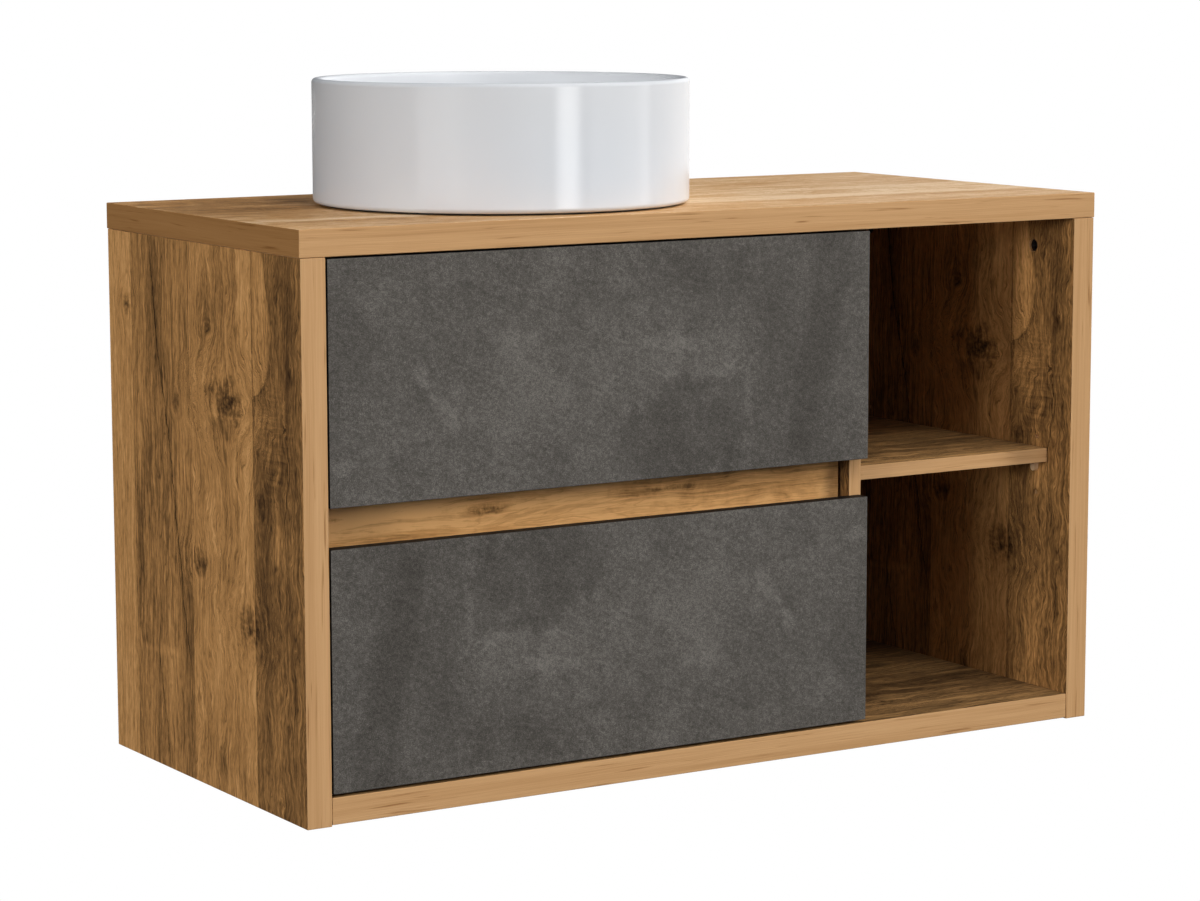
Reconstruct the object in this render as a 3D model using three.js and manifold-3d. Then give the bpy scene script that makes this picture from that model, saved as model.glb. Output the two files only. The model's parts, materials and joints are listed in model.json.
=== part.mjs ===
// Wall-hung bathroom vanity with a round vessel basin, two drawers and an open shelf compartment.
// Millimetres, +Z up. The wall is the plane Y = 0 and the front looks along -Y.
// The origin is the centre of the steel wall rail's back face, the face that is screwed to the wall.
import * as THREE from "three";
import { mergeVertices } from "three/addons/utils/BufferGeometryUtils.js";
import Module from "manifold-3d";

const wasm = await Module();
wasm.setup();

// ---- Driving dimensions -------------------------------------------------------------------------
const GAP = 0.3; // clearance kept between pieces that touch
const WIDTH = 1000; // worktop width
const DEPTH = 458; // worktop and carcass depth
const HEIGHT = 600; // worktop's top face to the lower ends of the side panels
const THICK = 28; // worktop, side panels and bottom panel
const THIN = 16; // divider, shelf, back, rails and drawer fronts
const TOP_Z = 90; // worktop's top face above the wall rail's centre line
const SIDE_INSET = 1; // the worktop overhangs each side panel by this much
const BOTTOM_RAISE = 1.5; // bottom panel's underside above the side panels' lower ends
const DIVIDER_X = 176; // divider's left face
const DIVIDER_SETBACK = 18; // divider's front edge behind the carcass front
const BACK_OFFSET = 20; // the rear rail and back panel stand this far off the wall
const REAR_RAIL_HEIGHT = 100;

const FRONT_HEIGHT = 248; // each drawer front
const FRONT_GAP = 2; // beside and above the drawer fronts
const FRONT_GAP_LOW = 3; // between the lower front and the bottom panel
const FRONT_OVERLAP = 12.5; // how far the fronts cover the divider's front edge
const FRONT_RECESS = 0.5; // fronts' faces behind the carcass front
const GRIP_SETBACK = 33; // grip rail's face behind the carcass front
const GRIP_HEIGHT = 64;
const GRIP_END_GAP = 3.5; // open joint between the grip rail and the divider
const GRIP_BRACKET = { leg: 26, sheet: 2, width: 30 };

const SHELF_DROP = 292.3; // shelf's top face below the worktop's top face
const SHELF_SETBACK = 40;
const SHELF_MARGIN = 1; // play at the shelf's ends and rear
// System holes for the shelf supports: rows are distances behind the front.
const PIN = { radius: 2.5, depth: 12, pitch: 32, rows: [60, 380] };
const SUPPORT = { reach: 6, halfWidth: 4, drop: 7 }; // shelf support's tab beside and below its peg
const CAM = { radius: 7.5, depth: 13, drop: 35, rows: [72, 386], disc: 9 };
const CAM_SLOT = { length: 9, width: 2, depth: 2 };

// The wall rail's upstand carries the hooks of two plates that are screwed behind the carcass.
const WALL_RAIL = { halfHeight: 25, sheet: 2, reach: 12, upstand: 12, halfLength: 450 };
const RAIL_SCREW = { radius: 4, fromEnd: 40 };
const HANGER = { halfWidth: 60, low: -18, fromSide: 70, headroom: 3, play: 1 };

const BASIN = {
  x: -142,
  setback: 222, // basin axis behind the carcass front
  radius: 203,
  height: 135, // rim above the worktop
  wall: 9,
  lift: 2, // shadow gap under the basin, filled by its seal
  corner: 5, // outer bottom corner's radius
  fillet: 26, // inner bottom corner's radius
  floor: 15, // basin floor above the worktop at the waste
  floorRise: 4, // the floor rises this much towards the wall
  hole: 23,
  foot: 16, // width of the ring that the basin stands on
  footRecess: 3,
  sides: 60,
};
const SEAL = { inset: 4, width: 8 };
const WASTE = { worktopHole: 25, flange: 31.5, flangeThick: 3, tube: 20, bore: 17, length: 88 };
const PLUG = { travel: 8, stem: 5, hubHeight: 10, hubDrop: 35 };
const WASHER = { width: 13, thick: 3 };
const NUT = { width: 11, height: 11, flats: 8 };
const TRAP = {
  pipe: 16,
  pipeWall: 1.6,
  outletDrop: 158, // outlet's axis below the worktop's top face
  bodyTop: 112,
  bodyLow: 204,
  radius: 30,
  wall: 3,
  branchEnd: 48, // end of the side branch behind the trap's axis
  cupDepth: 32,
};
const TRAP_NUT = { width: 9, height: 16 };
const ROSETTE = { neck: 5, neckDepth: 9, width: 20, rim: 2 };

const BOX = { board: 15, bottom: 8, bottomRaise: 6, length: 400, backDrop: 12 };
const RECESS = { halfWidth: 100, ahead: 70, wall: 4 }; // upper drawer's cut-out round the trap
const RUNNER = { width: 12.7, sheet: 1.3 };
// A runner's three nested channels: where each web starts across the runner, how far its flanges
// reach, and half its height.
const RUNNER_MEMBERS = {
  cabinet: { web: GAP, flangeEnd: 9.2, half: 22.5 },
  middle: { web: 3, flangeEnd: 10, half: 19.4 },
  drawer: { web: RUNNER.width - GAP - RUNNER.sheet, flangeEnd: 5.4, half: 16.2 },
};

// ---- Places worked out from them ----------------------------------------------------------------
const FRONT_Y = -DEPTH;
const behindFront = (setback) => FRONT_Y + setback;
const belowTop = (drop) => TOP_Z - drop;
const UNDER_TOP = belowTop(THICK);
const SIDE_OUTER = WIDTH / 2 - SIDE_INSET;
const SIDE_INNER = SIDE_OUTER - THICK;
const CARCASS_LOW = belowTop(HEIGHT);
const FLOOR_Z = CARCASS_LOW + BOTTOM_RAISE + THICK; // bottom panel's upper face
const DIVIDER_RIGHT = DIVIDER_X + THIN;
const BACK_Y = -BACK_OFFSET - THIN; // front faces of the rear rail and the back panel
const SHELF_LOW = belowTop(SHELF_DROP) - THIN;
const SUPPORT_Z = SHELF_LOW - 2 * PIN.radius; // middle hole of each column
const CAM_Z = UNDER_TOP - CAM.drop;
const BASIN_Y = behindFront(BASIN.setback);
const BASIN_PLACE = [BASIN.x, BASIN_Y, TOP_Z];
const FLANGE_LOW = BASIN.floor + GAP;
const FLANGE_TOP = FLANGE_LOW + WASTE.flangeThick;

const BOX_FRONT_Y = behindFront(FRONT_RECESS + THIN) + GAP;
const BOX_REAR = BOX_FRONT_Y + BOX.length;
const BOX_LEFT = -SIDE_INNER + RUNNER.width;
const BOX_RIGHT = DIVIDER_X - RUNNER.width;
const INSIDE_LEFT = BOX_LEFT + BOX.board + GAP;
const INSIDE_RIGHT = BOX_RIGHT - BOX.board - GAP;

// A drawer's heights: its front, its box above the front's lower edge, and its runners' centre line.
function drawerAt(name, frontLow, boxRaise, boxHeight, runnerRaise) {
  const boxLow = frontLow + boxRaise;
  return {
    name,
    frontLow,
    frontHigh: frontLow + FRONT_HEIGHT,
    low: boxLow,
    high: boxLow + boxHeight,
    floor: boxLow + BOX.bottomRaise,
    runnerZ: boxLow + runnerRaise,
  };
}
const UPPER = drawerAt("upper", UNDER_TOP - FRONT_GAP - FRONT_HEIGHT, 18, 170, 62);
const LOWER = drawerAt("lower", FLOOR_Z + FRONT_GAP_LOW, 14, 206, 80);

// ---- Materials ----------------------------------------------------------------------------------
const finish = (color, roughness, metalness = 0) =>
  new THREE.MeshStandardMaterial({ color, roughness, metalness });
const oak = () => finish(0xc4986c, 0.5);
const knottyOak = () => finish(0x8a6440, 0.55);
const slate = () => finish(0x4e4c48, 0.7);
const drawerBoard = () => finish(0x6b6763, 0.6);
const zincSteel = () => finish(0xb8babd, 0.38, 0.9);
const chrome = () => finish(0xd8dadc, 0.13, 1);
const rubber = () => finish(0x222222, 0.8);
const whiteCeramic = () => finish(0xf4f4f2, 0.12);

// ---- Helpers ------------------------------------------------------------------------------------
const vanity = new THREE.Group();

function add(name, geometry, material, place = [0, 0, 0]) {
  const mesh = new THREE.Mesh(geometry, material);
  mesh.name = name;
  mesh.position.set(...place);
  vanity.add(mesh);
}

function block(low, high) {
  const size = high.map((value, i) => value - low[i]);
  const middle = high.map((value, i) => (value + low[i]) / 2);
  return new THREE.BoxGeometry(...size).translate(...middle);
}

function solidOf(geometry) {
  const bare = geometry.clone();
  bare.deleteAttribute("normal");
  bare.deleteAttribute("uv");
  const merged = mergeVertices(bare, 1e-4);
  return new wasm.Manifold(
    new wasm.Mesh({
      numProp: 3,
      vertProperties: merged.attributes.position.array,
      triVerts: new Uint32Array(merged.index.array),
    }),
  );
}

function geometryOf(solid) {
  const { numProp, numVert, vertProperties, triVerts } = solid.getMesh();
  const positions = new Float32Array(numVert * 3);
  for (let i = 0; i < numVert; i++) {
    positions.set(vertProperties.subarray(i * numProp, i * numProp + 3), i * 3);
  }
  const geometry = new THREE.BufferGeometry();
  geometry.setAttribute("position", new THREE.BufferAttribute(positions, 3));
  geometry.setIndex(new THREE.BufferAttribute(triVerts, 1));
  geometry.computeVertexNormals();
  return geometry;
}

const cut = (body, cutters) =>
  geometryOf(cutters.reduce((solid, cutter) => solid.subtract(solidOf(cutter)), solidOf(body)));
const join = (pieces) =>
  geometryOf(pieces.map(solidOf).reduce((whole, piece) => whole.add(piece)));

// A cylinder along X, Y or Z, centred on the given point.
function rod(axis, radius, length, centre, sides = 24) {
  const geometry = new THREE.CylinderGeometry(radius, radius, length, sides);
  if (axis === "x") geometry.rotateZ(-Math.PI / 2);
  if (axis === "z") geometry.rotateX(Math.PI / 2);
  return geometry.translate(...centre);
}

// A piece turned about Z, from [radius, height] corners given anticlockwise.
function turned(corners, sides = 36) {
  const points = corners.map(([radius, height]) => new THREE.Vector2(radius, height));
  return new THREE.LatheGeometry(points, sides).rotateX(Math.PI / 2);
}

function ring(inner, outer, low, high, sides = 36) {
  const section = [
    [outer, low],
    [outer, high],
    [inner, high],
    [inner, low],
    [outer, low],
  ];
  return turned(section, sides);
}

// A flat outline in the Y-Z plane, run along X.
const Y_Z_TO_X = new THREE.Matrix4().makeBasis(
  new THREE.Vector3(0, 1, 0),
  new THREE.Vector3(0, 0, 1),
  new THREE.Vector3(1, 0, 0),
);
const alongX = (shape, fromX, toX, curveSegments = 8) =>
  new THREE.ExtrudeGeometry(shape, { depth: toX - fromX, bevelEnabled: false, curveSegments })
    .applyMatrix4(Y_Z_TO_X)
    .translate(fromX, 0, 0);
const outlineOf = (corners) => new THREE.Shape(corners.map(([y, z]) => new THREE.Vector2(y, z)));
const alongY = (turnedPiece) => turnedPiece.rotateX(-Math.PI / 2);
const inOrder = (a, b) => [Math.min(a, b), Math.max(a, b)];

// ---- Carcass ------------------------------------------------------------------------------------
const pinHoles = (faceX, into) =>
  PIN.rows.flatMap((row) =>
    [-1, 0, 1].map((step) => {
      const z = SUPPORT_Z + step * PIN.pitch;
      const middle = [faceX + (into * PIN.depth) / 2, behindFront(row), z];
      return rod("x", PIN.radius, PIN.depth, middle, 16);
    }),
  );

const camHoles = (side) =>
  CAM.rows.map((row) => {
    const middle = [side * (SIDE_INNER + CAM.depth / 2), behindFront(row), CAM_Z];
    return rod("x", CAM.radius, CAM.depth, middle);
  });

function worktop() {
  const board = block([-WIDTH / 2, FRONT_Y, UNDER_TOP], [WIDTH / 2, 0, TOP_Z]);
  const middle = [BASIN.x, BASIN_Y, TOP_Z - THICK / 2];
  const hole = rod("z", WASTE.worktopHole, 2 * THICK, middle, 36);
  add("worktop", cut(board, [hole]), oak());
}

function sidePanel(name, side, extraHoles) {
  const [lowX, highX] = inOrder(side * SIDE_INNER, side * SIDE_OUTER);
  const board = block([lowX, FRONT_Y, CARCASS_LOW], [highX, 0, UNDER_TOP - GAP]);
  add(name, cut(board, [...camHoles(side), ...extraHoles]), knottyOak());
}

function innerBoards() {
  const inner = SIDE_INNER - GAP;
  const low = FLOOR_Z + GAP;
  const high = UNDER_TOP - GAP;
  const rear = -BACK_OFFSET;
  add("bottom_panel", block([-inner, FRONT_Y, FLOOR_Z - THICK], [inner, 0, FLOOR_Z]), knottyOak());
  const divider = block(
    [DIVIDER_X, behindFront(DIVIDER_SETBACK), low],
    [DIVIDER_RIGHT, rear, high],
  );
  add("divider_panel", cut(divider, pinHoles(DIVIDER_RIGHT, -1)), knottyOak());
  add("back_panel", block([DIVIDER_RIGHT + GAP, BACK_Y, low], [inner, rear, high]), knottyOak());
  const railLow = high - REAR_RAIL_HEIGHT;
  add("rear_rail", block([-inner, BACK_Y, railLow], [DIVIDER_X - GAP, rear, high]), knottyOak());
}

// The rail behind the finger gap between the two drawer fronts.
function gripRail() {
  const middleZ = (UPPER.frontLow + LOWER.frontHigh) / 2;
  const leftX = -SIDE_INNER + GAP;
  const backY = behindFront(GRIP_SETBACK + THIN);
  const rail = block(
    [leftX, behindFront(GRIP_SETBACK), middleZ - GRIP_HEIGHT / 2],
    [DIVIDER_X - GRIP_END_GAP, backY, middleZ + GRIP_HEIGHT / 2],
  );
  add("grip_rail", rail, oak());
  gripBracket("grip_rail_bracket_left", leftX, 1, middleZ, backY + GAP);
  gripBracket("grip_rail_bracket_right", DIVIDER_X - GAP, -1, middleZ, backY + GAP);
}

// An angle bracket behind the grip rail: one leg on the board beside it, one on the rail.
function gripBracket(name, cornerX, into, middleZ, frontY) {
  const { leg, sheet, width } = GRIP_BRACKET;
  const angle = (reach, length) => {
    const [lowX, highX] = inOrder(cornerX, cornerX + into * reach);
    return block(
      [lowX, frontY, middleZ - width / 2],
      [highX, frontY + length, middleZ + width / 2],
    );
  };
  add(name, join([angle(sheet, leg), angle(leg, sheet)]), zincSteel());
}

function shelf() {
  const board = block(
    [DIVIDER_RIGHT + SHELF_MARGIN, behindFront(SHELF_SETBACK), SHELF_LOW],
    [SIDE_INNER - SHELF_MARGIN, BACK_Y - SHELF_MARGIN, SHELF_LOW + THIN],
  );
  add("shelf", board, knottyOak());
}

// A plug-in shelf support: a peg in the middle hole and a round-ended tab under the shelf.
function shelfSupport(name, faceX, into, setback) {
  const { reach, halfWidth, drop } = SUPPORT;
  const top = SHELF_LOW - GAP - SUPPORT_Z;
  const tabShape = new THREE.Shape();
  tabShape.moveTo(-halfWidth, top);
  tabShape.lineTo(-halfWidth, halfWidth - drop);
  tabShape.absarc(0, halfWidth - drop, halfWidth, Math.PI, 2 * Math.PI, false);
  tabShape.lineTo(halfWidth, top);
  const [lowX, highX] = inOrder(faceX - into * reach, faceX - into * GAP);
  const tab = alongX(tabShape, lowX, highX).translate(0, behindFront(setback), SUPPORT_Z);
  const [pegLow, pegHigh] = inOrder(faceX - (into * reach) / 2, faceX + into * (PIN.depth - 2));
  const middle = [(pegLow + pegHigh) / 2, behindFront(setback), SUPPORT_Z];
  const peg = rod("x", PIN.radius - GAP, pegHigh - pegLow, middle, 12);
  add(name, join([tab, peg]), finish(0xe2d2b4, 0.4));
}

// A cam lock: a cross-slotted disc sunk in the side panel, which pulls on a bolt in the worktop.
function camLock(name, side, setback) {
  const deepEnd = SIDE_INNER + CAM.depth - 1;
  const faceX = side * (deepEnd - CAM.disc);
  const y = behindFront(setback);
  const disc = rod("x", CAM.radius - GAP, CAM.disc, [side * (deepEnd - CAM.disc / 2), y, CAM_Z]);
  const slot = (halfY, halfZ) =>
    block(
      [faceX - CAM_SLOT.depth, y - halfY, CAM_Z - halfZ],
      [faceX + CAM_SLOT.depth, y + halfY, CAM_Z + halfZ],
    );
  const crossSlot = [
    slot(CAM_SLOT.length / 2, CAM_SLOT.width / 2),
    slot(CAM_SLOT.width / 2, CAM_SLOT.length / 2),
  ];
  add(name, cut(disc, crossSlot), finish(0x8d8f92, 0.45, 0.8));
}

function smallFittings() {
  ["front", "rear"].forEach((row, i) => {
    shelfSupport("shelf_support_left_" + row, DIVIDER_RIGHT, -1, PIN.rows[i]);
    shelfSupport("shelf_support_right_" + row, SIDE_INNER, 1, PIN.rows[i]);
    camLock("cam_lock_left_" + row, -1, CAM.rows[i]);
    camLock("cam_lock_right_" + row, 1, CAM.rows[i]);
  });
}

// ---- Wall hanging -------------------------------------------------------------------------------
function wallRail() {
  const { halfHeight, sheet, reach, upstand, halfLength } = WALL_RAIL;
  const section = outlineOf([
    [0, -halfHeight],
    [0, halfHeight],
    [-reach + sheet, halfHeight],
    [-reach + sheet, halfHeight + upstand],
    [-reach, halfHeight + upstand],
    [-reach, halfHeight - sheet],
    [-sheet, halfHeight - sheet],
    [-sheet, -halfHeight],
  ]);
  const outermost = halfLength - RAIL_SCREW.fromEnd;
  const screwHoles = [-1, -0.5, 0.5, 1].map((part) =>
    rod("y", RAIL_SCREW.radius, 4 * sheet, [part * outermost, -sheet / 2, 0], 20),
  );
  add("wall_rail", cut(alongX(section, -halfLength, halfLength), screwHoles), zincSteel());
}

function hangingPlate(name, middleX) {
  const { halfHeight, sheet, reach, upstand } = WALL_RAIL;
  const plateFront = -BACK_OFFSET + GAP;
  const hookFront = -reach + sheet + HANGER.play;
  const webLow = halfHeight + upstand + HANGER.headroom;
  const section = outlineOf([
    [plateFront, HANGER.low],
    [plateFront, webLow + sheet],
    [hookFront + sheet, webLow + sheet],
    [hookFront + sheet, halfHeight + GAP],
    [hookFront, halfHeight + GAP],
    [hookFront, webLow],
    [plateFront + sheet, webLow],
    [plateFront + sheet, HANGER.low],
  ]);
  const plate = alongX(section, middleX - HANGER.halfWidth, middleX + HANGER.halfWidth);
  add(name, plate, zincSteel());
}

// ---- Basin and waste ----------------------------------------------------------------------------
function basin() {
  const { radius, height, wall, lift, corner, fillet, floor, hole, foot, footRecess } = BASIN;
  const rim = wall / 2;
  const filletX = radius - wall - fillet;
  const filletZ = floor + BASIN.floorRise + fillet;
  const footInner = radius - corner - foot;
  const path = new THREE.Path();
  path.moveTo(hole, lift + footRecess);
  path.lineTo(footInner, lift + footRecess);
  path.lineTo(footInner + footRecess, lift);
  path.lineTo(radius - corner, lift);
  path.absarc(radius - corner, lift + corner, corner, -Math.PI / 2, 0, false);
  path.lineTo(radius, height - rim);
  path.absarc(radius - rim, height - rim, rim, 0, Math.PI, false);
  path.lineTo(radius - wall, filletZ);
  path.absarc(filletX, filletZ, fillet, 0, -Math.PI / 2, true);
  path.lineTo(WASTE.flange + 2, floor);
  path.lineTo(hole, floor);
  path.lineTo(hole, lift + footRecess);
  const section = path.getPoints(3).map(({ x, y }) => [x, y]);
  add("basin", turned(section, BASIN.sides), whiteCeramic(), BASIN_PLACE);
  const sealOuter = radius - corner - SEAL.inset;
  const seal = ring(sealOuter - SEAL.width, sealOuter, GAP, lift - GAP, BASIN.sides);
  add("basin_seal", seal, rubber(), BASIN_PLACE);
}

// The waste's threaded tube, with a spoked hub that guides the plug's stem.
function wasteBody() {
  const { flange, tube, bore, length } = WASTE;
  const tubeEnd = FLANGE_TOP - length;
  const sleeve = turned([
    [tube, tubeEnd],
    [tube, FLANGE_LOW],
    [flange, FLANGE_LOW],
    [flange - 1, FLANGE_TOP],
    [bore, FLANGE_TOP],
    [bore, tubeEnd],
    [tube, tubeEnd],
  ]);
  const hubZ = FLANGE_TOP - PLUG.hubDrop;
  const spoke = (halfX, halfY) =>
    block([-halfX, -halfY, hubZ - 4], [halfX, halfY, hubZ + 4]);
  const hub = rod("z", PLUG.stem + 3, PLUG.hubHeight, [0, 0, hubZ], 20);
  const guide = rod("z", PLUG.stem + GAP, 2 * PLUG.hubHeight, [0, 0, hubZ], 36);
  const whole = join([sleeve, spoke(bore + 1, 1), spoke(1, bore + 1), hub]);
  add("waste_body", cut(whole, [guide]), chrome(), BASIN_PLACE);
}

// The push plug in its raised, open position.
function wastePlug() {
  const low = FLANGE_TOP + PLUG.travel + 1;
  const stemEnd = FLANGE_TOP - PLUG.hubDrop - PLUG.hubHeight - PLUG.travel;
  const edge = WASTE.flange - 2;
  const plug = turned([
    [0, stemEnd],
    [PLUG.stem, stemEnd],
    [PLUG.stem, low],
    [edge - 1, low],
    [edge, low + 1],
    [edge - 1, low + 4],
    [edge - 10, low + 6],
    [0, low + 7],
  ]);
  add("waste_plug", plug, chrome(), BASIN_PLACE);
}

function wasteClamp() {
  const bore = WASTE.tube + GAP;
  const washerLow = -THICK - WASHER.thick;
  const washer = ring(bore, WASTE.tube + WASHER.width, washerLow, -THICK - GAP);
  add("waste_washer", washer, rubber(), BASIN_PLACE);
  const middle = [0, 0, washerLow - GAP - NUT.height / 2];
  const nut = cut(rod("z", WASTE.tube + NUT.width, NUT.height, middle, NUT.flats), [
    rod("z", bore, 2 * NUT.height, middle, 36),
  ]);
  add("waste_nut", nut, chrome(), BASIN_PLACE);
}

// ---- Bottle trap --------------------------------------------------------------------------------
function trapBody() {
  const { pipe, radius, wall, branchEnd, bodyTop, bodyLow, outletDrop } = TRAP;
  const height = bodyLow - bodyTop;
  const middleZ = -(bodyTop + bodyLow) / 2;
  const branch = (boreRadius, fromY) =>
    rod("y", boreRadius, branchEnd - fromY, [0, (branchEnd + fromY) / 2, -outletDrop], 32);
  const shell = join([rod("z", radius, height, [0, 0, middleZ], 40), branch(pipe + 4, 0)]);
  const hollow = [
    rod("z", radius - wall, height, [0, 0, middleZ - wall], 40),
    rod("z", pipe + GAP, 2 * TRAP_NUT.height, [0, 0, -bodyTop], 32),
    branch(pipe + GAP, 2 * GAP).translate(0, GAP, 0),
  ];
  add("trap_body", cut(shell, hollow), chrome(), BASIN_PLACE);
}

function trapCup() {
  const { radius, wall, bodyLow, cupDepth } = TRAP;
  const brim = -bodyLow;
  const base = brim - cupDepth;
  const cup = turned([
    [0, base],
    [radius - 10, base],
    [radius, base + 8],
    [radius + 4, base + 16],
    [radius + 4, brim + 6],
    [radius + GAP, brim + 6],
    [radius + GAP, brim - GAP],
    [radius - wall, brim - GAP],
    [radius - wall, base + 10],
    [radius - 12, base + 4],
    [0, base + 4],
  ]);
  add("trap_cup", cup, chrome(), BASIN_PLACE);
}

function trapPipes() {
  const { pipe, pipeWall, outletDrop, radius, bodyTop, bodyLow, branchEnd } = TRAP;
  const wasteEnd = FLANGE_TOP - WASTE.length;
  const inlet = ring(pipe - pipeWall, pipe, 12 - bodyLow, wasteEnd + 14, 32);
  add("trap_inlet_pipe", inlet, chrome(), BASIN_PLACE);
  const nut = (low) => ring(pipe + GAP, pipe + TRAP_NUT.width, low, low + TRAP_NUT.height, 32);
  add("trap_inlet_nut", nut(GAP - bodyTop), chrome(), BASIN_PLACE);

  const outletZ = belowTop(outletDrop);
  const outlet = alongY(ring(pipe - pipeWall, pipe, radius + 4, -BASIN_Y, 32));
  add("trap_outlet_pipe", outlet, chrome(), [BASIN.x, BASIN_Y, outletZ]);
  add("trap_outlet_nut", alongY(nut(branchEnd + GAP)), chrome(), [BASIN.x, BASIN_Y, outletZ]);
  const { neck, neckDepth, width, rim } = ROSETTE;
  const rosette = turned([
    [pipe + GAP, -neckDepth],
    [pipe + neck, -neckDepth],
    [pipe + width, -rim],
    [pipe + width, 0],
    [pipe + GAP, 0],
    [pipe + GAP, -neckDepth],
  ]);
  add("wall_rosette", alongY(rosette), chrome(), [BASIN.x, 0, outletZ]);
}

// ---- Drawers ------------------------------------------------------------------------------------
function drawerFront(drawer) {
  const board = block(
    [-SIDE_INNER + FRONT_GAP, behindFront(FRONT_RECESS), drawer.frontLow],
    [DIVIDER_X + FRONT_OVERLAP, behindFront(FRONT_RECESS + THIN), drawer.frontHigh],
  );
  add(drawer.name + "_drawer_front", board, slate());
}

function drawerSides(drawer) {
  const side = (label, fromX) => {
    const low = [fromX, BOX_FRONT_Y, drawer.low];
    const high = [fromX + BOX.board, BOX_REAR, drawer.high];
    add(drawer.name + "_drawer_side_" + label, block(low, high), drawerBoard());
  };
  side("left", BOX_LEFT);
  side("right", BOX_RIGHT - BOX.board);
}

function drawerBack(name, drawer, fromX, toX) {
  const low = [fromX, BOX_REAR - BOX.board, drawer.low];
  const high = [toX, BOX_REAR, drawer.high - BOX.backDrop];
  add(name, block(low, high), drawerBoard());
}

const drawerBottom = ({ floor }) =>
  block(
    [INSIDE_LEFT, BOX_FRONT_Y, floor],
    [INSIDE_RIGHT, BOX_REAR - BOX.board - GAP, floor + BOX.bottom],
  );

// The upper drawer's bottom is cut out in a U round the trap, and a moulded surround walls the cut.
function upperDrawer() {
  const { halfWidth, ahead, wall } = RECESS;
  const left = BASIN.x - halfWidth;
  const right = BASIN.x + halfWidth;
  const front = BASIN_Y - ahead;
  const top = UPPER.high - BOX.backDrop;
  const past = BOX.length; // the cutting block runs well past the box behind, above and below
  const notch = () => block([left, front, UPPER.low - past], [right, BOX_REAR + past, top + past]);
  drawerBack("upper_drawer_back_left", UPPER, INSIDE_LEFT, left - wall - GAP);
  drawerBack("upper_drawer_back_right", UPPER, right + wall + GAP, INSIDE_RIGHT);
  add("upper_drawer_bottom", cut(drawerBottom(UPPER), [notch()]), drawerBoard());
  const surround = block(
    [left - wall, front - wall, UPPER.floor + BOX.bottom + GAP],
    [right + wall, BOX_REAR, top],
  );
  add("upper_drawer_trap_surround", cut(surround, [notch()]), finish(0x55524e, 0.5));
}

function lowerDrawer() {
  drawerBack("lower_drawer_back", LOWER, INSIDE_LEFT, INSIDE_RIGHT);
  add("lower_drawer_bottom", drawerBottom(LOWER), drawerBoard());
}

// One channel of a telescopic ball-bearing runner.
function runnerMember(drawer, side, member) {
  const { web, flangeEnd, half } = RUNNER_MEMBERS[member];
  const faceX = side === "left" ? -SIDE_INNER : DIVIDER_X;
  const into = side === "left" ? 1 : -1;
  const strip = (from, to, low, high) => {
    const [lowX, highX] = inOrder(faceX + into * from, faceX + into * to);
    return block(
      [lowX, BOX_FRONT_Y, drawer.runnerZ + low],
      [highX, BOX_REAR, drawer.runnerZ + high],
    );
  };
  const webEnd = web + RUNNER.sheet;
  const flange = [Math.min(web, flangeEnd), Math.max(webEnd, flangeEnd)];
  const channel = join([
    strip(web, webEnd, -half, half),
    strip(...flange, half - RUNNER.sheet, half),
    strip(...flange, -half, RUNNER.sheet - half),
  ]);
  add([drawer.name, "runner", side, member].join("_"), channel, zincSteel());
}

function drawers() {
  for (const drawer of [UPPER, LOWER]) {
    drawerFront(drawer);
    drawerSides(drawer);
    for (const side of ["left", "right"]) {
      for (const member of Object.keys(RUNNER_MEMBERS)) {
        runnerMember(drawer, side, member);
      }
    }
  }
  upperDrawer();
  lowerDrawer();
}

// ---- The whole vanity ---------------------------------------------------------------------------
worktop();
sidePanel("side_panel_left", -1, []);
sidePanel("side_panel_right", 1, pinHoles(SIDE_INNER, 1));
innerBoards();
gripRail();
shelf();
smallFittings();
wallRail();
hangingPlate("hanging_plate_left", -SIDE_INNER + HANGER.fromSide);
hangingPlate("hanging_plate_right", SIDE_INNER - HANGER.fromSide);
basin();
wasteBody();
wastePlug();
wasteClamp();
trapBody();
trapCup();
trapPipes();
drawers();

export default vanity;
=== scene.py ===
"""Wall-hung vanity with a vessel basin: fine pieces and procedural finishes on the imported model."""

import json
import math

import bmesh
import bpy
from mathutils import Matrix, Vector

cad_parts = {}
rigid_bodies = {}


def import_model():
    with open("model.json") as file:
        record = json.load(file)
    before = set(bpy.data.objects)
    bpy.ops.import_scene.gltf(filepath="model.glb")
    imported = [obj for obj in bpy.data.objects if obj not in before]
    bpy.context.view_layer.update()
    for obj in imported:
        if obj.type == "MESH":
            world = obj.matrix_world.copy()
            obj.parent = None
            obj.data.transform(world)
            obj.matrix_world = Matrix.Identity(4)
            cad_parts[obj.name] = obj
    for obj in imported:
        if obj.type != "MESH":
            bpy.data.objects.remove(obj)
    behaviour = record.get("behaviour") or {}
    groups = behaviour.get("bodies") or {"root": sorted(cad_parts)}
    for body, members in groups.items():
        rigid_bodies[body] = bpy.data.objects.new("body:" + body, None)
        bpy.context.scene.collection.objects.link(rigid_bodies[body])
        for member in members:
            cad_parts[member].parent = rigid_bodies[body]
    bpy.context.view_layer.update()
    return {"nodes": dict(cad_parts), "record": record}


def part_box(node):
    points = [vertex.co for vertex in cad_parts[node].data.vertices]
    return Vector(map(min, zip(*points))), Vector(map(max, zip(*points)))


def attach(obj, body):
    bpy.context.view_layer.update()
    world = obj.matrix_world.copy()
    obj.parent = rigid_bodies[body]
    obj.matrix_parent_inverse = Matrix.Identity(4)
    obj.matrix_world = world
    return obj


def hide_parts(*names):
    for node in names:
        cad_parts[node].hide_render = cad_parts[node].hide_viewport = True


# ---- Camera --------------------------------------------------------------------------------------
CAMERA_AT = (-2.0435, -3.4980, 0.3520)
CAMERA_YAW = 0.5561  # to the right of +Y, radians
CAMERA_PITCH = 0.1402  # below the horizon, radians
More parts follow.
